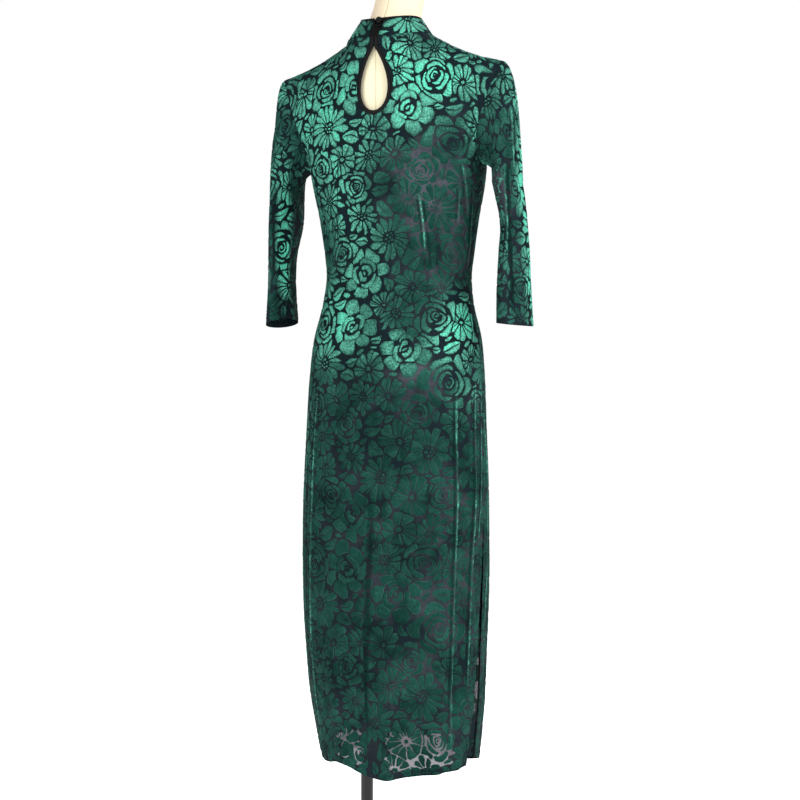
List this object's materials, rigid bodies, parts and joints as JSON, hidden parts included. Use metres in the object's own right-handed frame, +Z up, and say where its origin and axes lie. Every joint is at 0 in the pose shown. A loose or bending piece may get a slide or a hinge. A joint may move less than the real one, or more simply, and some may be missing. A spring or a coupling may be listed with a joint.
{
  "type": "cheongsam dress on a dress form",
  "caption": "Fitted cheongsam dress with a stand collar, keyhole back, narrow sleeves and side slits, worn by a limbless dress form on a pole with a round base.",
  "frame": {"origin": "centre of the base plate's underside, on the pole's line", "axes": "+Z up along the pole; the wearer's front faces -Y and the wearer's left is +X"},
  "size_m": [0.4675, 0.36, 1.5003],
  "materials": {
    "velvet": "devore velvet with a green pile on a sheer dark ground",
    "binding": "black satin bias strip",
    "lining": "dark plain-woven lining",
    "form_cover": "cream jersey stretched over the form",
    "black_enamel": "satin black enamel on steel"
  },
  "bodies": {
    "root": {"front_panel": "velvet", "back_panel": "velvet", "left_sleeve": "velvet", "right_sleeve": "velvet", "collar": "velvet", "collar_piping": "binding", "keyhole_binding": "binding", "ball_button": "binding", "button_loop": "binding", "lining_front": "lining", "lining_back": "lining", "form_body": "form_cover", "neck_cap": "form_cover", "pole": "black_enamel", "base_flange": "black_enamel", "base_plate": "black_enamel"}
  },
  "joints": []
}
